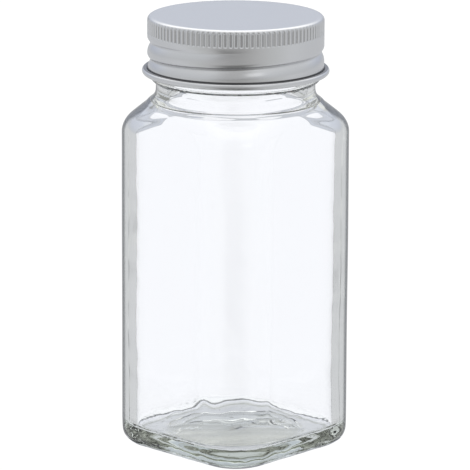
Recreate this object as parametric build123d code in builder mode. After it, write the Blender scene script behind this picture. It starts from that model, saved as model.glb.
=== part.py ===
"""Square glass spice jar with a neck thread, a shaker insert and a lined aluminium screw cap.

Millimetres. Origin at the centre of the base, +Z up, flat sides square to X and Y.
"""

import os
from math import cos, radians, sin, sqrt, tan

from build123d import *

# Overall
total_height = 110.0
cut_overrun = 1.0

# Glass body
body_width = 46.6
corner_radius = 11.0
wall_thickness = 2.2
floor_thickness = 4.4
heel_radius = 4.7
floor_fillet_radius = 3.4
bearing_width = 2.1
push_up_depth = 1.2

# Shoulder, from the flat sides in to the neck
shoulder_step = 3.45
side_slope_degrees = 28.6
side_shoulder_radius = 4.4
corner_slope_degrees = 36.7
corner_shoulder_radius = 5.6

# Neck finish
neck_length = 18.07
neck_wall = 2.35
lip_radius = 0.7
glass_thread_depth = 1.4
glass_thread_width = 2.4
glass_thread_turns = 1.4
glass_thread_drop = 2.9
# Bead round the neck, just under the cap
neck_bead_drop = 13.0
neck_bead_height = 2.0
neck_bead_depth = 1.25

# Screw thread that the glass and the cap share, right-handed
thread_pitch = 4.233

# Aluminium cap
thread_clearance = 0.47
cap_height = 14.6
sheet_thickness = 0.28
cap_corner_radius = 0.7
hem_radius = 0.8
hem_gap_degrees = 50
groove_depth = 0.85
groove_width = 3.0
groove_turns = 1.75
groove_top_drop = 5.45
groove_end_degrees = -25
flute_count = 102
flute_height = 3.2
flute_drop = 0.45
flute_width = 0.9
flute_depth = 0.14

# Liner
liner_thickness = 0.9
liner_margin = 0.7
liner_clearance = 0.1

# Shaker insert
flange_thickness = 0.8
flange_inset = 0.45
skirt_depth = 6.8
skirt_thickness = 0.9
skirt_clearance = 0.05
plate_recess = 1.5
plate_thickness = 1.0
shaker_hole_diameter = 6.35
shaker_ring_count = 6
# The ring of holes lies at this share of the skirt's inside
shaker_ring_share = 0.64

# Heights stacked down from the top of the cap
liner_top = total_height - sheet_thickness - liner_clearance
flange_top = liner_top - liner_thickness - liner_clearance
lip_height = flange_top - flange_thickness
neck_root_height = lip_height - neck_length
groove_top_height = total_height - groove_top_drop
glass_thread_top_height = lip_height - glass_thread_drop

# A helical ridge fades in over this share of a turn at each end, from this share of its depth
ridge_fade_share = 0.25
ridge_end_share = 0.12
# It is lofted in short spans, each through this many steps
spans_per_turn = 6
steps_per_span = 4

# Heights of the shoulder's sections, as shares of the way from its foot to inside the neck
shoulder_section_shares = (0, 0.12, 0.24, 0.36, 0.48, 0.58, 0.68, 0.77, 0.85, 0.92, 1)
# The last section is a rounded square that is this nearly a circle
round_share = 0.97

# Radii worked outward from the body and the neck
side_half = body_width / 2
push_up_radius = side_half - heel_radius - bearing_width
neck_radius = side_half - shoulder_step
bore_radius = neck_radius - neck_wall
inner_cap_radius = neck_radius + glass_thread_depth + thread_clearance
cap_radius = inner_cap_radius + sheet_thickness
corner_half = (side_half - corner_radius) * sqrt(2) + corner_radius
side_slope = radians(side_slope_degrees)
corner_slope = radians(corner_slope_degrees)


def slope_height(radius, slope, inset):
    """Height of the shoulder's straight slope at a radius, with the surface moved inward by the inset."""
    return neck_root_height - (radius - neck_radius) * tan(slope) - inset / cos(slope)


def bend_centre(reach, bend_radius, slope):
    """Centre of the bend between a vertical wall at this reach and the shoulder's slope."""
    tangent_length = bend_radius * tan((radians(90) - slope) / 2)
    return reach - bend_radius, slope_height(reach, slope, 0) - tangent_length


def reach_at(height, reach, bend_radius, slope, inset):
    """How far out the shoulder reaches at a height, along a side's middle or a corner."""
    centre, foot = bend_centre(reach, bend_radius, slope)
    bend = bend_radius - inset
    rise = height - foot
    if rise <= 0:
        return reach - inset
    if rise < bend * cos(slope):
        return centre + sqrt(bend**2 - rise**2)
    return neck_radius + (neck_root_height - inset / cos(slope) - height) / tan(slope)


shoulder_foot = bend_centre(corner_half, corner_shoulder_radius, corner_slope)[1]


def shoulder_section(height, inset):
    """Rounded square whose sides and corners follow the two shoulder profiles."""
    side = reach_at(height, side_half, side_shoulder_radius, side_slope, inset)
    corner = reach_at(height, corner_half, corner_shoulder_radius, corner_slope, inset)
    rounding = (side * sqrt(2) - corner) / (sqrt(2) - 1)
    with BuildSketch(Plane.XY.offset(height)) as section:
        RectangleRounded(2 * side, 2 * side, min(rounding, round_share * side))
    return section.sketch


def shoulder_sections(inset, end_radius):
    """Sections of the shoulder, from its foot up to the height where its slope has this radius."""
    top = slope_height(end_radius, side_slope, inset)
    heights = [shoulder_foot + (top - shoulder_foot) * share for share in shoulder_section_shares]
    return [shoulder_section(height, inset) for height in heights]


def ridge_depth_at(turn, turns, depth):
    """Depth of a helical ridge at a place along it, faded in and out at its ends."""
    from_end = min(1, min(turn, turns - turn) / ridge_fade_share)
    return depth * (ridge_end_share + (1 - ridge_end_share) * sin(radians(90) * from_end) ** 2)


def ridge_section(base_radius, side, top_height, top_degrees, turn, shape):
    """Round-nosed section of a right-hand helical ridge, this many turns down from its top end."""
    depth, width, bury = shape
    angle = radians(top_degrees - 360 * turn)
    outward = Vector(cos(angle), sin(angle), 0)
    middle = outward * base_radius + Vector(0, 0, top_height - thread_pitch * turn)
    nose = side * depth
    back = -side * bury
    with BuildSketch(Plane(middle, x_dir=outward, z_dir=outward.cross(Vector(0, 0, 1)))) as section:
        with BuildLine():
            ThreePointArc((0, -width / 2), (nose, 0), (0, width / 2))
            Polyline((0, width / 2), (back, width / 2), (back, -width / 2), (0, -width / 2))
        make_face()
    return section.sketch


def ridge_spans(base_radius, side, top_height, top_degrees, turns, shape_at):
    """Section lists for the spans of a ridge that stands out (side 1) or in (side -1)."""
    steps = round(turns * spans_per_turn) * steps_per_span
    sections = [
        ridge_section(
            base_radius, side, top_height, top_degrees,
            turns * step / steps, shape_at(turns * step / steps),
        )
        for step in range(steps + 1)
    ]
    starts = range(0, steps, steps_per_span)
    return [sections[start:start + steps_per_span + 1] for start in starts]


def glass_ridge_section(turn):
    """Depth, width and buried part of the glass thread."""
    depth = ridge_depth_at(turn, glass_thread_turns, glass_thread_depth)
    return depth, glass_thread_width, wall_thickness / 4


def groove_section(turn):
    """Depth, width and overrun of the groove pressed into the cap's outside."""
    return ridge_depth_at(turn, groove_turns, groove_depth), groove_width, cut_overrun


def bead_section(turn):
    """Depth, width and buried part of the bead that the groove raises inside, one sheet away."""
    depth = ridge_depth_at(turn, groove_turns, groove_depth)
    nose_radius = (groove_width**2 / 4 + depth**2) / (2 * depth)
    width = 2 * sqrt(depth * (2 * nose_radius + 2 * sheet_thickness - depth))
    return depth, width, sheet_thickness / 2


# Space inside the glass
inner_half = side_half - wall_thickness
with BuildPart() as cavity:
    with BuildSketch(Plane.XY.offset(floor_thickness)):
        RectangleRounded(2 * inner_half, 2 * inner_half, corner_radius - wall_thickness)
    extrude(amount=shoulder_foot - floor_thickness)
    fillet(cavity.edges().group_by(Axis.Z)[0], floor_fillet_radius)
    loft(shoulder_sections(wall_thickness, bore_radius - wall_thickness / 2))
    with BuildSketch(Plane.XY.offset(shoulder_foot)):
        Circle(bore_radius)
    extrude(amount=lip_height + cut_overrun - shoulder_foot)

# Glass thread, half a pitch above the cap's bead all along
glass_thread_top_degrees = (
    groove_end_degrees
    + 360 * (glass_thread_top_height - groove_top_height) / thread_pitch
    + 180
)
glass_thread_spans = ridge_spans(
    neck_radius, 1, glass_thread_top_height, glass_thread_top_degrees,
    glass_thread_turns, glass_ridge_section,
)
with BuildPart() as glass_thread:
    for span in glass_thread_spans:
        loft(span)

# Neck with its rounded lip
with BuildPart() as neck:
    with BuildSketch(Plane.XY.offset(shoulder_foot)):
        Circle(neck_radius)
    extrude(amount=lip_height - shoulder_foot)
    fillet(neck.edges().group_by(Axis.Z)[-1], lip_radius)

# Glass jar
neck_bead_middle = lip_height - neck_bead_drop
neck_bead_top = neck_bead_middle + neck_bead_height / 2
neck_bead_bottom = neck_bead_middle - neck_bead_height / 2
neck_bead_root = neck_radius - neck_wall / 4
with BuildPart() as jar_body:
    with BuildSketch():
        RectangleRounded(body_width, body_width, corner_radius)
    extrude(amount=shoulder_foot)
    fillet(jar_body.edges().group_by(Axis.Z)[0], heel_radius)
    loft(shoulder_sections(0, neck_radius - wall_thickness / 2))
    add(neck.part)
    add(glass_thread.part)
    with BuildSketch(Plane.XZ):
        with BuildLine():
            ThreePointArc(
                (neck_radius, neck_bead_bottom),
                (neck_radius + neck_bead_depth, neck_bead_middle),
                (neck_radius, neck_bead_top),
            )
            Polyline(
                (neck_radius, neck_bead_top),
                (neck_bead_root, neck_bead_top),
                (neck_bead_root, neck_bead_bottom),
                (neck_radius, neck_bead_bottom),
            )
        make_face()
    revolve(axis=Axis.Z)
    add(cavity.part, mode=Mode.SUBTRACT)
    with BuildSketch(Plane.XZ):
        with BuildLine():
            ThreePointArc(
                (-push_up_radius, 0),
                (0, push_up_depth),
                (push_up_radius, 0),
            )
            Line((push_up_radius, 0), (-push_up_radius, 0))
        make_face()
        split(bisect_by=Plane.YZ)
    revolve(axis=Axis.Z, mode=Mode.SUBTRACT)
jar_body.part.label = "jar_body"

# Flute cutter: an upright pill that stands at the origin
flute_radius = (flute_width**2 / 4 + flute_depth**2) / (2 * flute_depth)
with BuildPart() as flute:
    with BuildSketch(Plane.XZ):
        with BuildLine():
            Line((0, -flute_height / 2), (0, flute_height / 2))
            ThreePointArc((0, flute_height / 2), (flute_radius, 0), (0, -flute_height / 2))
        make_face()
    revolve(axis=Axis.Z)

# Bead that the rolled groove raises inside the cap
cap_bottom = total_height - cap_height
bead_spans = ridge_spans(
    inner_cap_radius, -1, groove_top_height, groove_end_degrees,
    groove_turns, bead_section,
)
with BuildPart() as cap_bead:
    for span in bead_spans:
        loft(span)

# Space inside the cap
with BuildPart() as cap_space:
    with BuildSketch(Plane.XY.offset(cap_bottom - cut_overrun)):
        Circle(inner_cap_radius)
    extrude(amount=cap_height + cut_overrun - sheet_thickness)
    fillet(cap_space.edges().group_by(Axis.Z)[-1], cap_corner_radius - sheet_thickness)
    add(cap_bead.part, mode=Mode.SUBTRACT)

# Groove rolled into the outside of the cap
groove_spans = ridge_spans(
    cap_radius, -1, groove_top_height, groove_end_degrees,
    groove_turns, groove_section,
)
with BuildPart() as cap_groove:
    for span in groove_spans:
        loft(span)

# Aluminium screw cap, its hem curled outward with a gap beside the wall
hem_centre_radius = inner_cap_radius + hem_radius
hem_centre_height = cap_bottom + hem_radius
hem_gap_reach = 2 * hem_radius * tan(radians(hem_gap_degrees))
flute_middle = total_height - flute_drop - flute_height / 2
with BuildPart() as screw_cap:
    with BuildSketch(Plane.XY.offset(hem_centre_height)):
        Circle(cap_radius)
    extrude(amount=total_height - hem_centre_height)
    fillet(screw_cap.edges().group_by(Axis.Z)[-1], cap_corner_radius)
    add(cap_groove.part, mode=Mode.SUBTRACT)
    with PolarLocations(cap_radius + flute_radius - flute_depth, flute_count):
        add(flute.part.moved(Location((0, 0, flute_middle))), mode=Mode.SUBTRACT)
    add(cap_space.part, mode=Mode.SUBTRACT)
    with BuildSketch(Plane.XZ):
        with Locations((hem_centre_radius, hem_centre_height)):
            Circle(hem_radius)
            Circle(hem_radius - sheet_thickness, mode=Mode.SUBTRACT)
            with BuildLine():
                Polyline((0, 0), (-2 * hem_radius, 0), (-2 * hem_radius, hem_gap_reach), close=True)
            make_face(mode=Mode.SUBTRACT)
    revolve(axis=Axis.Z)
screw_cap.part.label = "screw_cap"

# Sealing liner
with BuildPart() as cap_liner:
    with BuildSketch(Plane.XY.offset(liner_top - liner_thickness)):
        Circle(cap_radius - cap_corner_radius - liner_margin)
    extrude(amount=liner_thickness)
cap_liner.part.label = "cap_liner"

# Shaker insert
skirt_radius = bore_radius - skirt_clearance
skirt_bore_radius = skirt_radius - skirt_thickness
plate_top = flange_top - plate_recess
with BuildPart() as sifter_insert:
    with BuildSketch(Plane.XY.offset(lip_height)):
        Circle(neck_radius - flange_inset)
    extrude(amount=flange_thickness)
    with BuildSketch(Plane.XY.offset(lip_height - skirt_depth)):
        Circle(skirt_radius)
    extrude(amount=skirt_depth)
    with BuildSketch(Plane.XY.offset(plate_top)):
        Circle(skirt_bore_radius)
    extrude(amount=flange_top - plate_top, mode=Mode.SUBTRACT)
    with BuildSketch(Plane.XY.offset(lip_height - skirt_depth)):
        Circle(skirt_bore_radius)
    extrude(amount=plate_top - plate_thickness - lip_height + skirt_depth, mode=Mode.SUBTRACT)
    with BuildSketch(Plane.XY.offset(plate_top - plate_thickness)):
        Circle(shaker_hole_diameter / 2)
        with PolarLocations(shaker_ring_share * skirt_bore_radius, shaker_ring_count):
            Circle(shaker_hole_diameter / 2)
    extrude(amount=plate_thickness, mode=Mode.SUBTRACT)
sifter_insert.part.label = "sifter_insert"

os.makedirs("parts", exist_ok=True)
for piece in (jar_body, screw_cap, cap_liner, sifter_insert):
    export_step(piece.part, f"parts/{piece.part.label}.step")
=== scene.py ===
"""Looks of the square glass spice jar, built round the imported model. Metres, unless a name says mm."""

from math import cos, pi, radians, sin, sqrt, tan

import bpy
import numpy as np
from mathutils import Matrix, Vector


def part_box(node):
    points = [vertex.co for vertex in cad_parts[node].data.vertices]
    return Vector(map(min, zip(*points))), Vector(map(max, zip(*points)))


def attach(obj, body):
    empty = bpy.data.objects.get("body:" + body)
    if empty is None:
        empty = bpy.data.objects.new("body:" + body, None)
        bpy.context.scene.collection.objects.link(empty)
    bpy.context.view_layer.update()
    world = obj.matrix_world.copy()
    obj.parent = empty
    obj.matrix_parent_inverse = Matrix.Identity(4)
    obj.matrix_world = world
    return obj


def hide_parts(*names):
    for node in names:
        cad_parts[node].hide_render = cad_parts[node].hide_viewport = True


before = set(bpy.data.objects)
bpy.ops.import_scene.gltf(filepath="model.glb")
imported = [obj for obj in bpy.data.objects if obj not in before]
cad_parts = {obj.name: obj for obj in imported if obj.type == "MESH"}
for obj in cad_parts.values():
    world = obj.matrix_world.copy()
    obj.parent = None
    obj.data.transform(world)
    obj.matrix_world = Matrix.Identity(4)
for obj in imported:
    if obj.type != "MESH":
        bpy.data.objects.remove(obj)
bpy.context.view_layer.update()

MM = 0.001

# Sizes read from the frame
JAR_LOW, JAR_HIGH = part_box("jar_body")
CAP_LOW, CAP_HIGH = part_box("screw_cap")
SIDE_HALF = round((JAR_HIGH.x - JAR_LOW.x) / 2, 4)
LIP_HEIGHT = JAR_HIGH.z
TOP_HEIGHT = CAP_HIGH.z
CAP_BOTTOM = CAP_LOW.z

# Glass body
CORNER_RADIUS = 11.0 * MM
CORNER_HALF = (SIDE_HALF - CORNER_RADIUS) * sqrt(2) + CORNER_RADIUS
HEEL_RADIUS = 4.7 * MM
WALL = 2.2 * MM
PUSH_UP_RADIUS = 16.5 * MM
PUSH_UP_DEPTH = 1.2 * MM
FLOOR = 4.4 * MM
# The settled floor: its edge at the wall, and its round middle with a faint ridge
FLOOR_EDGE = 5.2 * MM
FLOOR_FILLET = 1.1 * MM
FLOOR_RING = 17.8 * MM
RING_RIDGE = 0.12 * MM
RIDGE_SHARE = 0.97
RIDGE_WIDTH_SHARE = 0.015
FLOOR_BULGE = 0.3 * MM

# Shoulder, neck and lip
NECK_ROOT = 89.75 * MM
NECK_RADIUS = 19.85 * MM
BORE_RADIUS = 17.5 * MM
SIDE_SLOPE = radians(28.6)
SIDE_BEND = 4.4 * MM
CORNER_SLOPE = radians(36.7)
CORNER_BEND = 5.6 * MM
ROOT_ROUND = 3.0 * MM
NECK_BEAD_MIDDLE = LIP_HEIGHT - 13.3 * MM
NECK_BEAD_HALF = 1.0 * MM
NECK_BEAD_DEPTH = 1.25 * MM
LIP_ROUND = 0.7 * MM
BORE_ROUND = 0.5 * MM

# Screw thread that the glass and the cap share
THREAD_PITCH = 4.233 * MM
THREAD_DEPTH = 1.4 * MM
THREAD_REACH = 1.488 * MM
THREAD_TURNS = 1.4
GROOVE_TOP = TOP_HEIGHT - 5.45 * MM
GROOVE_END = radians(-25)
THREAD_TOP = LIP_HEIGHT - 2.9 * MM
THREAD_END = GROOVE_END + 2 * pi * (THREAD_TOP - GROOVE_TOP) / THREAD_PITCH + pi
GLASS_THREAD = (THREAD_TOP, THREAD_END, THREAD_TURNS, THREAD_DEPTH)
THREAD_FADE_SHARE = 0.25
THREAD_LAPS = range(-3, 4)

# Unevenness of the glass: height, size and seed of each wave. The seam's height is a share of the seam
OUTER_WAVE = (0.035 * MM, 26 * MM, 3)
SLOW_WAVE = (0.2 * MM, 30 * MM, 11)
QUICK_WAVE = (0.035 * MM, 7 * MM, 12)
DOME_WAVE = (0.06 * MM, 9 * MM, 21)
STIPPLE_WAVE = (0.03 * MM, 1.1 * MM, 22)
HEEL_WAVE = (0.1 * MM, 7 * MM, 23)
HEEL_GRAIN = (0.035 * MM, 2.2 * MM, 24)
BORE_WAVE = (0.12 * MM, 14 * MM, 31)
FLOOR_WAVE = (0.1 * MM, 6 * MM, 32)
FILLET_WAVE = (0.07 * MM, 1.6 * MM, 33)
SEAM_WAVE = (0.35, 50 * MM, 41)
WAVE_PARTS = 7
WAVE_RATES = (0.6, 1.6)
WAVE_SCALE = 3.5
# The inner wall waves more slowly up and down, less on the sides, and is thicker in the corners
SLOW_STRETCH = (1, 1, 0.6)
SIDE_WAVE_SHARE = 0.35
CORNER_EXTRA = 0.6 * MM
# Shares of the corner thickness and of the waves, on the inner slope, its bend and the fillet at the floor
SLOPE_SHARES = (0.6, 0.6)
BEND_SHARES = (0.8, 0.8)
FILLET_SHARES = (0.88, 0.4)
# The waves calm down over these heights, above the floor and below the lip
CALM_HEIGHT = 25 * MM
BORE_CALM = 12 * MM
# The two mould seams
SEAM_ANGLES = (radians(45), radians(225))
SEAM_HEIGHT = 0.035 * MM
SEAM_WIDTH = 0.25 * MM
SEAM_SHARE = 0.65

# Softness of the inner outline, and of the bends of the shoulder and the root of the neck
INNER_SOFTNESS = radians(5)
INNER_EASE = 0.9 * MM
OUTER_EASE = 0.5 * MM
EASE_REACH = 3
BLUR_STEPS = 1440
EASED_ROWS = 100

# Rows of the meshes
DOME_SHARES = (0.02, 0.2, 0.4, 0.6, 0.75, 0.86, 0.94, 0.985)
DOME_POWER = 0.8
BEARING_SHARES = (0.08, 0.2, 0.32, 0.44, 0.56, 0.68, 0.8, 0.92)
FALL_SHARES = (0.08, 0.18, 0.3, 0.42, 0.54, 0.66, 0.78, 0.88, 0.95, 1.0)
FALL_POWER = 1.6
MIDDLE_SHARES = (0.985, 0.97, 0.955, 0.93, 0.88, 0.82, 0.75, 0.67, 0.58, 0.48, 0.38, 0.28, 0.18, 0.09, 0.03)
HEEL_ROWS = 20
WALL_ROWS = 40
SHOULDER_ROWS = 30
SLOPE_ROWS = 12
SLOPE_KEPT = 3
ROOT_ROWS = 8
NECK_ROWS = 6
BEAD_ROWS = 18
FINISH_ROWS = 60
LIP_ROWS = 6
BORE_ROWS = 24
INNER_ROWS = 70
FILLET_ROWS = 12
# Rows of the bore before the eased stretch inside begins, and of the inner wall before it ends
JOINED_ROWS = 12

# Directions round the axis, closer together at the seams
ROUND_STEPS = 480
SEAM_SPREAD = 0.05
SEAM_STEPS = 41
ANGLES = np.unique(np.concatenate([
    np.linspace(0, 2 * pi, ROUND_STEPS, endpoint=False),
    *[np.linspace(seam - SEAM_SPREAD, seam + SEAM_SPREAD, SEAM_STEPS) for seam in SEAM_ANGLES],
]))

# Cap
CAP_RADIUS = 22.0 * MM
SHEET = 0.28 * MM
CAP_CORNER = 1.1 * MM
HEM_RADIUS = 0.8 * MM
HEM_END = radians(130)
GROOVE_DEPTH = 0.85 * MM
GROOVE_TURNS = 1.75
GROOVE_ABOVE = 1.5 * MM
GROOVE_BELOW = 2.4 * MM
GROOVE_SOFTNESS = 0.12 * MM
CAP_GROOVE = (GROOVE_TOP, GROOVE_END, GROOVE_TURNS, GROOVE_DEPTH)
FLUTES = 102
FLUTE_HEIGHT = 3.7 * MM
FLUTE_DROP = 0.6 * MM
FLUTE_DEPTH = 0.4 * MM
FLUTE_BIAS = 0.35
FLUTE_END_POWER = 10
COLUMNS_PER_FLUTE = 8
TOP_SHARES = (0.02, 0.3, 0.6, 0.85, 0.97)
UNDER_TOP_SHARES = (0.8, 0.4, 0.02)
CAP_CORNER_ROWS = 8
SKIRT_ROWS = 110
CURL_ROWS = 24
CURL_BACK_ROWS = 32
INSIDE_ROWS = 60
INNER_CORNER_ROWS = 6

# Camera, fitted to the jar's outline in the photograph
CAMERA_AZIMUTH = radians(43.884)
CAMERA_DISTANCE = 934.6 * MM
CAMERA_HEIGHT = 278.9 * MM
CAMERA_PITCH = radians(13.535)
CAMERA_ROLL = radians(0.245)
CAMERA_REACH = 50
FOCAL_PIXELS = 3825.6
FRAME_PIXELS = 470
SENSOR_MM = 36.0

# Glass
GLASS_IOR = 1.52
GLASS_TINT = (0.893, 0.915, 0.885)
GLASS_DENSITY = 45.0
RIPPLE_SCALE = 90.0
RIPPLE_BUMP = (0.25, 0.3 * MM)
# Painted shade on the glass where it is met edge on, by how far it turns away
EDGE_SHADE_TONES = ((0.75, (1.0, 1.0, 1.0)), (0.87, (0.12, 0.13, 0.14)))
# The same painted shade, darker, where the eye first meets the glass, at the corners and from the neck's bead
# up
OUTLINE_SHADE_TONES = ((0.6, (1.0, 1.0, 1.0)), (0.71, (0.06, 0.065, 0.07)))
OUTLINE_CORNERS = (9.5 * MM, 12.5 * MM)
# Painted shadow of the bead: the dark outline is broader, and ragged, under it
BEAD_FOOT = (NECK_BEAD_MIDDLE - 1.5 * MM, NECK_BEAD_MIDDLE - 1.2 * MM)
BEAD_BELLY = (NECK_BEAD_MIDDLE - 0.3 * MM, NECK_BEAD_MIDDLE)
BEAD_GRAIN = 450.0
BEAD_SPAN = (0.4, 0.6)
BEAD_OUTLINE = (0.1, 0.5)
# Painted glow: after this many reflections the glass emits light in streaks, more higher up, standing in for
# light caught inside it
TRAPPED_DEPTH = 3.5
TRAPPED_COLOR = (1.0, 1.0, 0.97)
TRAPPED_STREAKS = (35.0, 35.0, 160.0)
TRAPPED_SPAN = (0.5, 0.56)
TRAPPED_TONES = (0.0, 0.28)
TRAPPED_HEIGHTS = (25 * MM, 70 * MM)
TRAPPED_GAIN = 0.15

# Metal colour, from painted shade to bare metal
METAL_SHADED_TO_BARE = ((0.0, (0.2, 0.2, 0.205)), (1.0, (0.72, 0.725, 0.735)))
METAL_ROUGHNESS = (0.22, 0.29)
METAL_STREAKS = (300.0, 6000.0, 6000.0)
METAL_DETAIL = 3.0
METAL_BUMP = (0.03, 0.02 * MM)
# Painted shade: a dark line in the crevice where the sheet turns out into the hem
CREVICE_SHADE_FOOT = (CAP_BOTTOM + 1.38 * MM, CAP_BOTTOM + 1.5 * MM)
CREVICE_SHADE_HEAD = (CAP_BOTTOM + 1.8 * MM, CAP_BOTTOM + 1.92 * MM)
# Painted shade in the bottoms of the flutes
FLUTE_SHADE_FOOT = (TOP_HEIGHT - 4.25 * MM, TOP_HEIGHT - 3.95 * MM)
FLUTE_SHADE_HEAD = (TOP_HEIGHT - 1.3 * MM, TOP_HEIGHT - 0.9 * MM)
FLUTE_BOTTOM = (-0.2, 0.6)
FLUTE_SHADE_STRENGTH = 0.28

# Liner and shaker insert: colour, roughness and size of the grain
LINER_LOOK = ((0.88, 0.88, 0.85), 0.7, 3000)
SHAKER_LOOK = ((0.9, 0.9, 0.89), 0.35, 1500)
PLASTIC_DETAIL = 4.0
PLASTIC_DARK_SHARE = 0.94
PLASTIC_BUMP = (0.2, 0.05 * MM)
SCATTER_SHARE = 0.15
SCATTER_DEPTH = 2 * MM

# Floor: white where it is seen, and as the glass lets it through
FLOOR_SIZE = 6
FLOOR_LIFT = 0.02 * MM
SEEN_TONE = (1.05, 1.05, 1.05)
THROUGH_TONE = (1.04, 1.05, 1.1)
# Its shade by the distance from the jar's foot, with the dark line where light no longer gets in
SHADE_SPAN = (-8 * MM, 6 * MM)
SHADE_TONES = (
    (0.0, (0.67, 0.69, 0.73)),
    (1.0, (1.0, 1.02, 1.06)),
    (0.5, (0.67, 0.69, 0.73)),
    (0.57, (0.4, 0.42, 0.4)),
    (0.62, (0.72, 0.74, 0.77)),
    (0.78, (0.82, 0.84, 0.92)),
    (0.815, (0.1, 0.11, 0.12)),
    (0.845, (0.1, 0.11, 0.12)),
    (0.88, (0.98, 1.0, 1.04)),
)
SHADE_FADE = (4.6 * MM, 6 * MM)
SHADE_RAGGED = 0.9 * MM
SHADE_GRAIN = 700.0
# Under the push-up, and just in front of the jar where its own shadow falls
MIDDLE_TONE = (0.465, 0.48, 0.45)
MIDDLE_FADE = (14.5 * MM, 17.5 * MM)
SHADOW_TONE = (0.58, 0.6, 0.55)
SHADOW_SHARES = (0.3, 0.5)
SHADOW_FADE = (12 * MM, 26 * MM)
# As the metal and the glass mirror it, by the angle from the studio's front as a share of half a turn
MIRRORED_TONES = (
    (0.0, (0.42, 0.42, 0.415)),
    (1.0, (0.6, 0.61, 0.63)),
    (0.13, (0.54, 0.54, 0.535)),
    (0.29, (0.62, 0.63, 0.63)),
    (0.42, (0.7, 0.71, 0.73)),
    (0.55, (0.66, 0.67, 0.69)),
)
# The same just in front of the jar
NEAR_TONE = (0.17, 0.17, 0.165)
NEAR_SHARES = (0.05, 0.2)
NEAR_FADE = (80 * MM, 450 * MM)

# Studio walls by the sine of their height: dim in front, pale beside it, bright overhead behind
FRONT_TONES = (
    (0.0, (0.38, 0.38, 0.38)),
    (1.0, (1.1, 1.1, 1.1)),
    (0.03, (0.2, 0.2, 0.2)),
    (0.06, (0.2, 0.2, 0.2)),
    (0.12, (0.5, 0.505, 0.505)),
    (0.8, (0.5, 0.5, 0.5)),
)
SIDE_TONES = (
    (0.0, (0.6, 0.61, 0.62)),
    (1.0, (1.2, 1.2, 1.2)),
    (0.17, (0.64, 0.655, 0.675)),
    (0.5, (0.7, 0.715, 0.735)),
    (0.8, (0.78, 0.79, 0.8)),
)
BACK_TONES = (
    (0.0, (0.56, 0.58, 0.62)),
    (1.0, (1.4, 1.4, 1.4)),
    (0.12, (0.56, 0.59, 0.67)),
    (0.28, (0.64, 0.68, 0.78)),
    (0.5, (1.1, 1.12, 1.15)),
    (0.7, (1.7, 1.7, 1.72)),
)
# Where one wall blends into the next, as shares of half a turn from the front
FRONT_SHARES = (0.05, 0.24)
BACK_SHARES = (0.55, 0.8)
# Soft box, its azimuth counted from the camera's
KEY_AZIMUTH = radians(25)
KEY_ELEVATION = radians(35)
KEY_DISTANCE = 1.2
KEY_SIZE = 0.4
KEY_ENERGY = 0.2


def smooth_mesh(name, rows):
    """Mesh from rows of points round the Z axis, closed at both ends by fans to the middle."""
    count = len(rows[0])
    faces = []
    for a in range(len(rows) - 1):
        b = a + 1
        for i in range(count):
            j = (i + 1) % count
            faces.append((a * count + i, a * count + j, b * count + j, b * count + i))
    first_middle = len(rows) * count
    faces += [(first_middle, (i + 1) % count, i) for i in range(count)]
    last_row = (len(rows) - 1) * count
    faces += [(first_middle + 1, last_row + i, last_row + (i + 1) % count) for i in range(count)]
    middles = np.array([rows[0].mean(axis=0), rows[-1].mean(axis=0)])
    points = np.concatenate([*rows, middles])
    mesh = bpy.data.meshes.new(name)
    mesh.from_pydata(points.tolist(), [], faces)
    mesh.validate()
    mesh.polygons.foreach_set("use_smooth", [True] * len(mesh.polygons))
    mesh.update()
    piece = bpy.data.objects.new(name, mesh)
    bpy.context.scene.collection.objects.link(piece)
    return piece


def square_reach(half, rounding):
    """Distance from the axis to a rounded square, at every angle."""
    folded = np.abs((ANGLES + pi / 4) % (pi / 2) - pi / 4)
    straight = half / np.cos(folded)
    inner = half - rounding
    along = inner * (np.cos(folded) + np.sin(folded))
    inside = np.maximum(rounding**2 - inner**2 * (1 - np.sin(2 * folded)), 0)
    curved = along + np.sqrt(inside)
    return np.where(half * np.tan(folded) <= inner, straight, curved)


def softened(reach):
    """The same outline with its changes of curvature blurred, as in glass that no mould touched."""
    grid = np.linspace(0, 2 * pi, BLUR_STEPS, endpoint=False)
    even = np.interp(grid, ANGLES, reach, period=2 * pi)
    rates = np.fft.rfftfreq(BLUR_STEPS, 1 / BLUR_STEPS)
    kept = np.exp(-((rates * INNER_SOFTNESS) ** 2) / 2)
    blurred = np.fft.irfft(np.fft.rfft(even) * kept, BLUR_STEPS)
    return np.interp(ANGLES, grid, blurred, period=2 * pi)


def ring(reach, height):
    """Row of points at these distances from the axis."""
    reach = np.broadcast_to(reach, ANGLES.shape)
    height = np.broadcast_to(height, ANGLES.shape)
    return np.stack([reach * np.cos(ANGLES), reach * np.sin(ANGLES), height], axis=1)


def slope_height(radius, slope, inset):
    """Height of the shoulder's straight slope at a radius."""
    return NECK_ROOT - (radius - NECK_RADIUS) * tan(slope) - inset / cos(slope)


def bend_centre(reach, bend, slope):
    """Centre of the bend between an upright wall and the slope."""
    return reach - bend, slope_height(reach, slope, 0) - bend * tan((pi / 2 - slope) / 2)


def reach_at(height, reach, bend, slope, inset):
    """How far out the shoulder reaches at a height."""
    centre, foot = bend_centre(reach, bend, slope)
    rise = height - foot
    if rise <= 0:
        return reach - inset
    if rise < (bend - inset) * cos(slope):
        return centre + sqrt((bend - inset) ** 2 - rise**2)
    return NECK_RADIUS + (NECK_ROOT - inset / cos(slope) - height) / tan(slope)


def wall_row(height, inset, smallest=0.0):
    """Rounded square at a height on the upright wall or the shoulder, no closer in than the neck."""
    side = max(reach_at(height, SIDE_HALF, SIDE_BEND, SIDE_SLOPE, inset), smallest)
    corner = max(reach_at(height, CORNER_HALF, CORNER_BEND, CORNER_SLOPE, inset), side)
    rounding = (side * sqrt(2) - corner) / (sqrt(2) - 1)
    reach = square_reach(side, min(rounding, side))
    return ring(softened(reach) if inset else reach, height)


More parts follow.
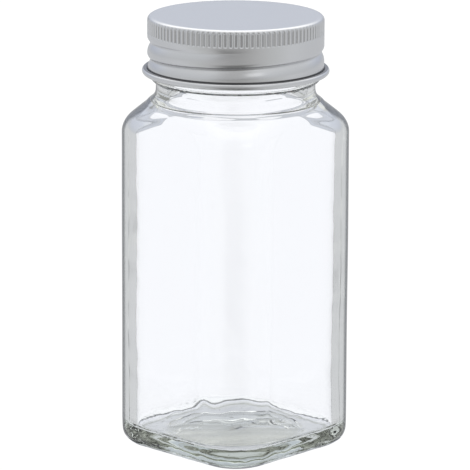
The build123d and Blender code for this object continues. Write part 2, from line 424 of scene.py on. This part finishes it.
def ridge_height(angle, height, path, shape):
    """How far a helical ridge stands out at each angle and a height."""
    top, end_angle, turns, depth = path
    out = np.zeros_like(angle)
    for lap in THREAD_LAPS:
        turn = (end_angle - angle) / (2 * pi) + lap
        from_end = np.clip(np.minimum(turn, turns - turn) / THREAD_FADE_SHARE, 0, 1)
        grown = depth * np.sin(from_end * pi / 2) ** 2
        out = np.maximum(out, grown * shape(height - top + THREAD_PITCH * turn))
    return out


def round_nose(offset):
    """Section of the glass thread: a smooth hump over its width."""
    share = np.clip(np.abs(offset) / THREAD_REACH, 0, 1)
    return np.cos(share * pi / 2) ** 2


def surface_wave(points, wave):
    """Slow, smooth unevenness of moulded glass, up to about the wave's height."""
    height, size, seed = wave
    generator = np.random.default_rng(seed)
    total = np.zeros(len(points))
    for _ in range(WAVE_PARTS):
        direction = generator.normal(size=3)
        direction /= np.linalg.norm(direction)
        rate = generator.uniform(*WAVE_RATES) / size
        phase = generator.uniform(0, 2 * pi)
        total += np.sin(2 * pi * rate * (points @ direction) + phase)
    return height * total / WAVE_SCALE


def push(points, amount):
    """Moves a row of points away from the axis by an amount each."""
    flat = points[:, :2]
    length = np.linalg.norm(flat, axis=1)
    moved = points.copy()
    moved[:, :2] = flat * ((length + amount) / length)[:, None]
    return moved


def lift(points, amount):
    """Raises a row of points by an amount each."""
    moved = points.copy()
    moved[:, 2] += amount
    return moved


def spaced(start, end, count):
    """Evenly spaced values after the start, up to the end."""
    return np.linspace(start, end, count + 1)[1:]


def quarter_turns(count, first=0):
    """Angles of a quarter turn in even steps."""
    return [pi / 2 * step / count for step in range(first, count + 1)]


def mould_seam(row):
    """The fine ridge where the two halves of the mould met."""
    raised = np.zeros(len(row))
    for seam in SEAM_ANGLES:
        across = (ANGLES - seam) * np.linalg.norm(row[:, :2], axis=1)
        raised += SEAM_HEIGHT * np.exp(-((across / SEAM_WIDTH) ** 2))
    return push(row, raised * (SEAM_SHARE + surface_wave(row, SEAM_WAVE)))


def outer_skin(row, waves=1.0):
    """Outer wall with its seam and a slight waviness."""
    return mould_seam(push(row, waves * surface_wave(row, OUTER_WAVE)))


def inner_skin(row, corners=1.0, waves=1.0):
    """Inner wall, which no mould touched: it is thicker in the corners and waves up and down."""
    corner = np.sin(2 * ANGLES) ** 2
    slow = surface_wave(row * SLOW_STRETCH, SLOW_WAVE) * (SIDE_WAVE_SHARE + (1 - SIDE_WAVE_SHARE) * corner)
    quick = surface_wave(row, QUICK_WAVE)
    return push(row, waves * (slow + quick) - corners * CORNER_EXTRA * corner**3)


def eased(rows, length):
    """The same surface in evenly spaced rows, with its bends eased over a length."""
    points = np.stack(rows)
    steps = np.linalg.norm(np.diff(points, axis=0), axis=2)
    along = np.concatenate([np.zeros((1, len(ANGLES))), np.cumsum(steps, axis=0)])
    even = np.empty((EASED_ROWS, len(ANGLES), 3))
    shares = np.linspace(0, 1, EASED_ROWS)
    for column in range(len(ANGLES)):
        places = shares * along[-1, column]
        for axis in range(3):
            even[:, column, axis] = np.interp(places, along[:, column], points[:, column, axis])
    spacing = along[-1].mean() / (EASED_ROWS - 1)
    reach = int(EASE_REACH * length / spacing)
    weights = np.exp(-((np.arange(-reach, reach + 1) * spacing / length) ** 2) / 2)
    weights /= weights.sum()
    before = even[0] + (even[0] - even[1]) * np.arange(reach, 0, -1)[:, None, None]
    after = even[-1] + (even[-1] - even[-2]) * np.arange(1, reach + 1)[:, None, None]
    padded = np.concatenate([before, even, after])
    return list(sum(weight * padded[k:k + EASED_ROWS] for k, weight in enumerate(weights)))


def underside_rows():
    """Shallow dome, stippled bearing face and heel."""
    rows = []
    for share in DOME_SHARES:
        row = ring(PUSH_UP_RADIUS * share, PUSH_UP_DEPTH * (1 - share**2) ** DOME_POWER)
        rows.append(lift(row, (1 - share) * surface_wave(row, DOME_WAVE)))
    rows.append(ring(PUSH_UP_RADIUS, 0.0))
    outer = square_reach(SIDE_HALF - HEEL_RADIUS, CORNER_RADIUS - HEEL_RADIUS)
    for share in BEARING_SHARES:
        row = ring(PUSH_UP_RADIUS + (outer - PUSH_UP_RADIUS) * share, 0.0)
        rows.append(lift(row, np.abs(surface_wave(row, STIPPLE_WAVE)) * sin(pi * share)))
    for turn in quarter_turns(HEEL_ROWS):
        draw = HEEL_RADIUS * (1 - sin(turn))
        row = ring(square_reach(SIDE_HALF - draw, CORNER_RADIUS - draw), HEEL_RADIUS * (1 - cos(turn)))
        uneven = surface_wave(row, HEEL_WAVE) + surface_wave(row, HEEL_GRAIN)
        rows.append(push(row, uneven * sin(2 * turn)))
    return rows


def root_rows(slope):
    """The rest of the slope, the small hollow bend at the root of the neck, and the neck up to its bead."""
    turn_centre = NECK_RADIUS + ROOT_ROUND
    root_height = slope_height(turn_centre, SIDE_SLOPE, 0) + ROOT_ROUND / cos(SIDE_SLOPE)
    rows = [outer_skin(wall_row(height, 0, NECK_RADIUS)) for height in slope]
    for share in np.linspace(0, 1, ROOT_ROWS + 1):
        turn = SIDE_SLOPE + (pi / 2 - SIDE_SLOPE) * share
        row = ring(turn_centre - ROOT_ROUND * sin(turn), root_height - ROOT_ROUND * cos(turn))
        rows.append(outer_skin(row, cos(pi / 2 * share) ** 2))
    bead_foot = NECK_BEAD_MIDDLE - NECK_BEAD_HALF
    rows += [mould_seam(ring(NECK_RADIUS, height)) for height in spaced(root_height, bead_foot, NECK_ROWS)]
    return rows


def outside_rows(foot):
    """Outer wall, shoulder, neck with its bead and thread, and lip."""
    rows = [outer_skin(wall_row(height, 0)) for height in spaced(HEEL_RADIUS, foot, WALL_ROWS)]
    bend_top = bend_centre(SIDE_HALF, SIDE_BEND, SIDE_SLOPE)[1] + SIDE_BEND * cos(SIDE_SLOPE)
    rows += [outer_skin(wall_row(height, 0, NECK_RADIUS)) for height in spaced(foot, bend_top, SHOULDER_ROWS)]
    root_lift = ROOT_ROUND / cos(SIDE_SLOPE) - ROOT_ROUND * cos(SIDE_SLOPE)
    slope_end = slope_height(NECK_RADIUS + ROOT_ROUND, SIDE_SLOPE, 0) + root_lift
    slope = spaced(bend_top, slope_end, SLOPE_ROWS)
    rows += [outer_skin(wall_row(height, 0, NECK_RADIUS)) for height in slope[:SLOPE_KEPT]]
    rows += eased(root_rows(slope[SLOPE_KEPT:-1]), OUTER_EASE)
    for step in range(1, BEAD_ROWS):
        turn = pi * step / BEAD_ROWS - pi / 2
        reach = NECK_RADIUS + NECK_BEAD_DEPTH * cos(turn)
        rows.append(mould_seam(ring(reach, NECK_BEAD_MIDDLE + NECK_BEAD_HALF * sin(turn))))
    bead_top = NECK_BEAD_MIDDLE + NECK_BEAD_HALF
    for height in np.linspace(bead_top, LIP_HEIGHT - LIP_ROUND, FINISH_ROWS + 1):
        rows.append(ring(NECK_RADIUS + ridge_height(ANGLES, height, GLASS_THREAD, round_nose), height))
    for turn in quarter_turns(LIP_ROWS, 1):
        reach = NECK_RADIUS - LIP_ROUND * (1 - cos(turn))
        rows.append(ring(reach, LIP_HEIGHT - LIP_ROUND * (1 - sin(turn))))
    return rows


def inner_wall_rows(foot):
    """Inner wall from the shoulder's foot down to the fillet at the floor, calmer near the floor."""
    rows = []
    corners_low, waves_low = FILLET_SHARES
    corners_bend = BEND_SHARES[0]
    for height in spaced(foot, FLOOR_EDGE + FLOOR_FILLET, INNER_ROWS):
        waves = min(1, waves_low + (height - FLOOR_EDGE) / CALM_HEIGHT)
        corners = corners_bend + (1 - corners_bend) * waves
        rows.append(inner_skin(wall_row(height, WALL), corners, waves))
    for turn in quarter_turns(FILLET_ROWS, 1):
        draw = FLOOR_FILLET * (1 - cos(turn))
        height = FLOOR_EDGE + FLOOR_FILLET * (1 - sin(turn))
        reach = square_reach(SIDE_HALF - WALL - draw, CORNER_RADIUS - WALL - draw)
        row = ring(softened(reach), height)
        rows.append(lift(inner_skin(row, corners_low, waves_low), surface_wave(row, FILLET_WAVE) * sin(turn)))
    return rows


def floor_rows(edge):
    """The floor, which falls from the wall to its round middle."""
    rows = []
    middle = ring(FLOOR_RING, FLOOR)
    for share in FALL_SHARES:
        row = edge + (middle - edge) * share
        row[:, 2] = FLOOR + (edge[:, 2] - FLOOR) * (1 - share) ** FALL_POWER
        rows.append(lift(row, surface_wave(row, FLOOR_WAVE) * share))
    for share in MIDDLE_SHARES:
        row = ring(FLOOR_RING * share, FLOOR)
        ridge = RING_RIDGE * np.exp(-(((share - RIDGE_SHARE) / RIDGE_WIDTH_SHARE) ** 2))
        rows.append(lift(row, FLOOR_BULGE * (1 - share**2) + surface_wave(row, FLOOR_WAVE) + ridge))
    return rows


def inside_rows(foot):
    """Bore, inner shoulder, inner wall and floor."""
    lip = []
    for turn in quarter_turns(LIP_ROWS):
        reach = BORE_RADIUS + BORE_ROUND * (1 - sin(turn))
        lip.append(ring(reach, LIP_HEIGHT - BORE_ROUND * (1 - cos(turn))))
    bore_foot = slope_height(BORE_RADIUS, SIDE_SLOPE, WALL)
    bore = []
    for height in spaced(LIP_HEIGHT - BORE_ROUND, bore_foot + BORE_ROUND, BORE_ROWS):
        row = ring(BORE_RADIUS, height)
        fade = min(1, (LIP_HEIGHT - height) / BORE_CALM)
        bore.append(push(row, fade * surface_wave(row, BORE_WAVE)))
    bend_top = bend_centre(SIDE_HALF, SIDE_BEND, SIDE_SLOPE)[1] + (SIDE_BEND - WALL) * cos(SIDE_SLOPE)
    shoulder = []
    for height in np.linspace(bore_foot, bend_top, SLOPE_ROWS + 1):
        shoulder.append(inner_skin(wall_row(height, WALL, BORE_RADIUS), *SLOPE_SHARES))
    for height in spaced(bend_top, foot, SHOULDER_ROWS):
        shoulder.append(inner_skin(wall_row(height, WALL, BORE_RADIUS), *BEND_SHARES))
    wall = inner_wall_rows(foot)
    joined = eased(bore[JOINED_ROWS:] + shoulder + wall[:JOINED_ROWS], INNER_EASE)
    return lip + bore[:JOINED_ROWS] + joined + wall[JOINED_ROWS:] + floor_rows(wall[-1])


def jar_glass():
    """The glass jar, with the slight unevenness of moulded glass inside and on its skin."""
    foot = bend_centre(CORNER_HALF, CORNER_BEND, CORNER_SLOPE)[1]
    return smooth_mesh("jar_glass", underside_rows() + outside_rows(foot) + inside_rows(foot))


def groove_nose(offset):
    """Section of the rolled groove: a narrow crease, with a short flank above and a long one below."""
    reach = np.where(offset > 0, GROOVE_ABOVE, GROOVE_BELOW)
    rounded = np.sqrt(offset**2 + GROOVE_SOFTNESS**2) - GROOVE_SOFTNESS
    return np.clip(1 - rounded / reach, 0, 1) ** 2


def flute_depth_at(angle, height):
    """Depth of the upright pressed flutes."""
    middle = TOP_HEIGHT - FLUTE_DROP - FLUTE_HEIGHT / 2
    along = abs(height - middle) / (FLUTE_HEIGHT / 2)
    if along >= 1:
        return np.zeros_like(angle)
    across = np.maximum(np.cos(angle * FLUTES) + FLUTE_BIAS, 0) / (1 + FLUTE_BIAS)
    return FLUTE_DEPTH * across * sqrt(1 - along**FLUTE_END_POWER)


def cap_rows():
    """Rows of the cap's sheet, from the middle of its top down the outside, round the hem and back up."""
    angles = np.linspace(0, 2 * pi, FLUTES * COLUMNS_PER_FLUTE, endpoint=False)

    def circle(radius, height):
        radius = np.broadcast_to(radius, angles.shape)
        height = np.broadcast_to(height, angles.shape)
        return np.stack([radius * np.cos(angles), radius * np.sin(angles), height], axis=1)

    def groove(height):
        return ridge_height(angles, height, CAP_GROOVE, groove_nose)

    flat = CAP_RADIUS - CAP_CORNER
    corner_height = TOP_HEIGHT - CAP_CORNER
    hem_centre = CAP_RADIUS - SHEET + HEM_RADIUS
    hem_height = CAP_BOTTOM + HEM_RADIUS
    rows = [circle(flat * share, TOP_HEIGHT) for share in TOP_SHARES]
    for turn in quarter_turns(CAP_CORNER_ROWS):
        height = corner_height + CAP_CORNER * cos(turn)
        rows.append(circle(flat + CAP_CORNER * sin(turn) - flute_depth_at(angles, height), height))
    for height in spaced(corner_height, hem_height, SKIRT_ROWS):
        rows.append(circle(CAP_RADIUS - groove(height) - flute_depth_at(angles, height), height))
    # The hem curls outward and up, then its edge turns and comes back inside the curl
    inner_hem = HEM_RADIUS - SHEET
    curl_end = 2 * pi + HEM_END
    for turn in np.linspace(pi, curl_end, CURL_ROWS + 1):
        rows.append(circle(hem_centre + inner_hem * cos(turn), hem_height + inner_hem * sin(turn)))
    for turn in np.linspace(curl_end, pi, CURL_BACK_ROWS + 1):
        rows.append(circle(hem_centre + HEM_RADIUS * cos(turn), hem_height + HEM_RADIUS * sin(turn)))
    for height in spaced(hem_height, corner_height, INSIDE_ROWS):
        rows.append(circle(CAP_RADIUS - SHEET - groove(height), height))
    inner_corner = CAP_CORNER - SHEET
    for turn in quarter_turns(INNER_CORNER_ROWS, 1):
        rows.append(circle(flat + inner_corner * cos(turn), corner_height + inner_corner * sin(turn)))
    rows += [circle(flat * share, TOP_HEIGHT - SHEET) for share in UNDER_TOP_SHARES]
    return rows


def add(tree, kind, values=None, links=None, **settings):
    """New shader node with its settings, and its inputs set or linked."""
    node = tree.nodes.new("ShaderNode" + kind)
    for name, setting in settings.items():
        setattr(node, name, setting)
    for name, value in (values or {}).items():
        node.inputs[name].default_value = value
    for name, socket in (links or {}).items():
        tree.links.new(socket, node.inputs[name])
    return node


def maths(tree, operation, first, second=None):
    """One sum: sockets are linked and numbers set."""
    node = add(tree, "Math", operation=operation)
    for socket, value in zip(node.inputs, (first, second)):
        if isinstance(value, (int, float)):
            socket.default_value = value
        elif value is not None:
            tree.links.new(value, socket)
    return node.outputs["Value"]


def times(tree, first, *others):
    """Product of sockets and numbers."""
    for other in others:
        first = maths(tree, "MULTIPLY", first, other)
    return first


def opposite(tree, share):
    """What is left of 1."""
    return maths(tree, "SUBTRACT", 1.0, share)


def vector_maths(tree, operation, first, second=None):
    """One vector sum: the first is linked, the second set."""
    node = add(tree, "VectorMath", operation=operation)
    tree.links.new(first, node.inputs[0])
    if second is not None:
        node.inputs[1].default_value = second
    return node.outputs["Value" if operation == "LENGTH" else "Vector"]


def height_of(tree, vector):
    """Z of a vector."""
    return add(tree, "SeparateXYZ", links={"Vector": vector}).outputs["Z"]


def spread(tree, value, ends, tones, interpolation="LINEAR"):
    """Takes the stretch between two values to the stretch between two others."""
    values = {"From Min": ends[0], "From Max": ends[1], "To Min": tones[0], "To Max": tones[1]}
    node = add(tree, "MapRange", values, {"Value": value}, interpolation_type=interpolation)
    return node.outputs["Result"]


def smooth_step(tree, value, ends):
    """Eases from 0 to 1 between two values."""
    return spread(tree, value, ends, (0.0, 1.0), "SMOOTHSTEP")


def grain(tree, vector, scale, detail=2.0):
    """Noise of a size."""
    return add(tree, "TexNoise", {"Scale": scale, "Detail": detail}, {"Vector": vector}).outputs["Fac"]


def stretched(tree, vector, scale):
    """Coordinates scaled along each axis."""
    return add(tree, "Mapping", {"Scale": scale}, {"Vector": vector}).outputs["Vector"]


def bumps(tree, height, look):
    """Normal of a surface with fine relief of a strength and a depth."""
    values = {"Strength": look[0], "Distance": look[1]}
    return add(tree, "Bump", values, {"Height": height}).outputs["Normal"]


def color_ramp(tree, factor, stops):
    """Blend of colours; the first two stops are the ends."""
    blend = add(tree, "ValToRGB", links={"Fac": factor})
    ramp = blend.color_ramp
    for element, (position, color) in zip(tuple(ramp.elements), stops[:2]):
        element.position = position
        element.color = (*color, 1)
    for position, color in stops[2:]:
        ramp.elements.new(position).color = (*color, 1)
    return blend.outputs["Color"]


def choose(tree, chooser, first, second):
    """Mixes two shaders: the second where the chooser socket is 1."""
    mix = add(tree, "MixShader", links={"Fac": chooser})
    tree.links.new(first, mix.inputs[1])
    tree.links.new(second, mix.inputs[2])
    return mix.outputs["Shader"]


def glow(tree, color):
    """Plain light of one colour, or of a linked one."""
    if isinstance(color, tuple):
        return add(tree, "Emission", {"Color": (*color, 1)}).outputs["Emission"]
    return add(tree, "Emission", links={"Color": color}).outputs["Emission"]


def away_from_front(tree, vector):
    """Angle away from the studio's front, as a share of half a turn."""
    turned = add(tree, "Mapping", {"Rotation": (0, 0, pi / 2 - CAMERA_AZIMUTH)}, {"Vector": vector})
    around = add(tree, "TexGradient", links={"Vector": turned.outputs["Vector"]}, gradient_type="RADIAL")
    centred = maths(tree, "SUBTRACT", around.outputs["Fac"], 0.5)
    return times(tree, maths(tree, "ABSOLUTE", centred), 2.0)


def new_material(name):
    """Empty node material with its output and its object coordinates."""
    material = bpy.data.materials.new(name)
    material.use_nodes = True
    tree = material.node_tree
    tree.nodes.clear()
    place = add(tree, "TexCoord").outputs["Object"]
    return material, tree, add(tree, "OutputMaterial"), place


def glass_painted_edge_shade(tree, place, path):
    """Colour of the glass with painted shade where it is met edge on, and a painted dark outline and bead
    shadow where the eye first meets it.
    """
    turned = add(tree, "LayerWeight").outputs["Facing"]
    split = add(tree, "SeparateXYZ", links={"Vector": vector_maths(tree, "ABSOLUTE", place)})
    off_side = maths(tree, "MINIMUM", split.outputs["X"], split.outputs["Y"])
    at_corner = times(tree, turned, smooth_step(tree, off_side, OUTLINE_CORNERS))
    above_foot = smooth_step(tree, split.outputs["Z"], BEAD_FOOT)
    below_belly = opposite(tree, smooth_step(tree, split.outputs["Z"], BEAD_BELLY))
    # Painted shadow under the bead: a ragged dark band
    broader = spread(tree, grain(tree, place, BEAD_GRAIN), BEAD_SPAN, BEAD_OUTLINE)
    band = times(tree, above_foot, below_belly, broader)
    outlined = maths(tree, "MAXIMUM", at_corner, times(tree, turned, above_foot))
    first = times(tree, maths(tree, "ADD", outlined, band), path.outputs["Is Camera Ray"])
    tone = add(tree, "VectorMath", operation="MULTIPLY")
    tree.links.new(color_ramp(tree, turned, EDGE_SHADE_TONES), tone.inputs[0])
    tree.links.new(color_ramp(tree, first, OUTLINE_SHADE_TONES), tone.inputs[1])
    return tone.outputs["Vector"]


def painted_trapped_glow(tree, place, path):
    """Strength of a painted glow that the glass emits, standing in for light reflected inside it beyond the
    bounces that are followed.
    """
    trapped = maths(tree, "GREATER_THAN", path.outputs["Glossy Depth"], TRAPPED_DEPTH)
    streaks = grain(tree, stretched(tree, place, TRAPPED_STREAKS), 1.0, 1.0)
    uneven = spread(tree, streaks, TRAPPED_SPAN, TRAPPED_TONES)
    higher = times(tree, smooth_step(tree, height_of(tree, place), TRAPPED_HEIGHTS), TRAPPED_GAIN)
    return times(tree, trapped, maths(tree, "ADD", uneven, higher))


def glass_material():
    """Clear soda glass, faintly green through its thickness, with fine ripples from the mould."""
    material, tree, output, place = new_material("clear_glass")
    path = add(tree, "LightPath")
    values = {
        "Roughness": 0.0,
        "IOR": GLASS_IOR,
        "Transmission Weight": 1.0,
        "Emission Color": (*TRAPPED_COLOR, 1),
    }
    links = {
        "Base Color": glass_painted_edge_shade(tree, place, path),
        "Emission Strength": painted_trapped_glow(tree, place, path),
        "Normal": bumps(tree, grain(tree, place, RIPPLE_SCALE), RIPPLE_BUMP),
    }
    shader = add(tree, "BsdfPrincipled", values, links)
    volume = add(tree, "VolumeAbsorption", {"Color": (*GLASS_TINT, 1), "Density": GLASS_DENSITY})
    tree.links.new(shader.outputs["BSDF"], output.inputs["Surface"])
    tree.links.new(volume.outputs["Volume"], output.inputs["Volume"])
    return material


def metal_unshaded(tree, place):
    """1 on bare metal, less where shade is painted: in the crevice above the hem and in the bottoms of the
    flutes.
    """
    height = height_of(tree, place)
    below_crevice = opposite(tree, smooth_step(tree, height, CREVICE_SHADE_FOOT))
    out_of_crevice = maths(tree, "MAXIMUM", below_crevice, smooth_step(tree, height, CREVICE_SHADE_HEAD))
    around = add(tree, "TexGradient", links={"Vector": place}, gradient_type="RADIAL")
    phase = maths(tree, "COSINE", times(tree, around.outputs["Fac"], 2 * pi * FLUTES))
    low_end = smooth_step(tree, height, FLUTE_SHADE_FOOT)
    high_end = opposite(tree, smooth_step(tree, height, FLUTE_SHADE_HEAD))
    bottom = times(tree, low_end, high_end, smooth_step(tree, phase, FLUTE_BOTTOM))
    return times(tree, out_of_crevice, opposite(tree, times(tree, bottom, FLUTE_SHADE_STRENGTH)))


def metal_material():
    """Satin rolled aluminium: soft streaks in one direction and a fine grain in its roughness."""
    material, tree, output, place = new_material("satin_aluminium")
    streaks = grain(tree, stretched(tree, place, METAL_STREAKS), 1.0, METAL_DETAIL)
    links = {
        # The base colour carries painted shade in the crevice above the hem and in the flute bottoms
        "Base Color": color_ramp(tree, metal_unshaded(tree, place), METAL_SHADED_TO_BARE),
        "Roughness": spread(tree, streaks, (0.0, 1.0), METAL_ROUGHNESS),
        "Normal": bumps(tree, streaks, METAL_BUMP),
    }
    shader = add(tree, "BsdfPrincipled", {"Metallic": 1.0}, links)
    tree.links.new(shader.outputs["BSDF"], output.inputs["Surface"])
    return material


def plastic_material(name, look):
    """Moulded plastic or foam with a fine grain."""
    color, roughness, grain_scale = look
    material, tree, output, place = new_material(name)
    noise = grain(tree, place, grain_scale, PLASTIC_DETAIL)
    dark = tuple(share * PLASTIC_DARK_SHARE for share in color)
    values = {"Roughness": roughness, "Subsurface Weight": SCATTER_SHARE, "Subsurface Scale": SCATTER_DEPTH}
    links = {
        "Base Color": color_ramp(tree, noise, ((0.0, dark), (1.0, color))),
        "Normal": bumps(tree, noise, PLASTIC_BUMP),
    }
    shader = add(tree, "BsdfPrincipled", values, links)
    tree.links.new(shader.outputs["BSDF"], output.inputs["Surface"])
    return material


def dress(piece, material):
    """Gives a piece its one material."""
    piece.data.materials.clear()
    piece.data.materials.append(material)


def beyond_contact(tree, place):
    """Distance on the floor from the outline of the jar's bearing face, negative under the jar."""
    straight = SIDE_HALF - CORNER_RADIUS
    beyond = vector_maths(tree, "SUBTRACT", vector_maths(tree, "ABSOLUTE", place), (straight, straight, 0))
    outside = vector_maths(tree, "MAXIMUM", beyond, (0, 0, 0))
    return maths(tree, "SUBTRACT", vector_maths(tree, "LENGTH", outside), CORNER_RADIUS - HEEL_RADIUS)


def floor_under_jar(tree, distance, radius):
    """Shade under and close round the jar."""
    share = spread(tree, distance, SHADE_SPAN, (0.0, 1.0))
    shade = glow(tree, color_ramp(tree, share, SHADE_TONES))
    return choose(tree, smooth_step(tree, radius, MIDDLE_FADE), glow(tree, MIDDLE_TONE), shade)


def floor_further_out(tree, place, distance, radius):
    """Floor as the glass lets it through and as metal and glass mirror it, with the jar's own shadow."""
    around = away_from_front(tree, place)
    far = smooth_step(tree, radius, NEAR_FADE)
    beside = maths(tree, "MAXIMUM", smooth_step(tree, around, NEAR_SHARES), far)
    wide = glow(tree, color_ramp(tree, around, MIRRORED_TONES))
    mirrored = choose(tree, beside, glow(tree, NEAR_TONE), wide)
    depth = add(tree, "LightPath").outputs["Glossy Depth"]
    lit = choose(tree, depth, glow(tree, THROUGH_TONE), mirrored)
    off_shadow = smooth_step(tree, distance, SHADOW_FADE)
    beyond = maths(tree, "MAXIMUM", smooth_step(tree, around, SHADOW_SHARES), off_shadow)
    return choose(tree, beyond, glow(tree, SHADOW_TONE), lit)


def pale_floor():
    """Plain pale floor: white to the camera, shaded under the glass, calmer as metal and glass mirror it."""
    bpy.ops.mesh.primitive_plane_add(size=FLOOR_SIZE, location=(0, 0, FLOOR_LIFT))
    floor = bpy.context.object
    floor.name = "floor"
    material, tree, output, place = new_material("floor_white")
    radius = vector_maths(tree, "LENGTH", place)
    uneven = maths(tree, "SUBTRACT", grain(tree, place, SHADE_GRAIN), 0.5)
    distance = maths(tree, "ADD", beyond_contact(tree, place), times(tree, uneven, SHADE_RAGGED))
    under = floor_under_jar(tree, distance, radius)
    further = floor_further_out(tree, place, distance, radius)
    shaded = choose(tree, smooth_step(tree, distance, SHADE_FADE), under, further)
    straight = add(tree, "LightPath").outputs["Is Camera Ray"]
    tree.links.new(choose(tree, straight, shaded, glow(tree, SEEN_TONE)), output.inputs["Surface"])
    dress(floor, material)


def studio_world():
    """Soft studio walls: pale all round, dimmer in front, bright overhead."""
    world = bpy.data.worlds.new("studio")
    bpy.context.scene.world = world
    world.use_nodes = True
    tree = world.node_tree
    tree.nodes.clear()
    output = add(tree, "OutputWorld")
    direction = add(tree, "TexCoord").outputs["Generated"]
    height = height_of(tree, direction)
    front, beside, back = [
        add(tree, "Background", links={"Color": color_ramp(tree, height, stops)}).outputs["Background"]
        for stops in (FRONT_TONES, SIDE_TONES, BACK_TONES)
    ]
    angle = away_from_front(tree, direction)
    near = choose(tree, smooth_step(tree, angle, FRONT_SHARES), front, beside)
    both = choose(tree, smooth_step(tree, angle, BACK_SHARES), near, back)
    tree.links.new(both, output.inputs["Surface"])


def key_light():
    """Soft box, high in front and a little to the right."""
    azimuth = CAMERA_AZIMUTH + KEY_AZIMUTH
    data = bpy.data.lights.new("key", "AREA")
    data.shape = "RECTANGLE"
    data.size = KEY_SIZE
    data.size_y = KEY_SIZE
    data.energy = KEY_ENERGY
    light = bpy.data.objects.new("key", data)
    direction = Vector((
        sin(azimuth) * cos(KEY_ELEVATION), -cos(azimuth) * cos(KEY_ELEVATION), sin(KEY_ELEVATION)
    ))
    light.location = direction * KEY_DISTANCE
    light.rotation_euler = direction.to_track_quat("Z", "Y").to_euler()
    bpy.context.scene.collection.objects.link(light)


def photo_camera():
    """Camera at the photograph's viewing angle and distance."""
    data = bpy.data.cameras.new("camera")
    data.sensor_width = SENSOR_MM
    data.lens = FOCAL_PIXELS / FRAME_PIXELS * SENSOR_MM
    data.clip_end = CAMERA_REACH
    camera = bpy.data.objects.new("camera", data)
    camera.location = (
        sin(CAMERA_AZIMUTH) * CAMERA_DISTANCE,
        -cos(CAMERA_AZIMUTH) * CAMERA_DISTANCE,
        CAMERA_HEIGHT,
    )
    turn = Matrix.Rotation(CAMERA_AZIMUTH, 4, "Z")
    tilt = Matrix.Rotation(pi / 2 - CAMERA_PITCH, 4, "X")
    roll = Matrix.Rotation(CAMERA_ROLL, 4, "Z")
    camera.rotation_euler = (turn @ tilt @ roll).to_euler()
    bpy.context.scene.collection.objects.link(camera)
    bpy.context.scene.camera = camera


bpy.context.scene.view_settings.view_transform = "Standard"

glass = jar_glass()
dress(glass, glass_material())
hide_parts("jar_body")
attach(glass, "jar")

shell = smooth_mesh("cap_shell", cap_rows())
dress(shell, metal_material())
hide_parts("screw_cap")
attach(shell, "cap")

dress(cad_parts["cap_liner"], plastic_material("foam_liner", LINER_LOOK))
dress(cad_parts["sifter_insert"], plastic_material("shaker_plastic", SHAKER_LOOK))

pale_floor()
studio_world()
key_light()
photo_camera()
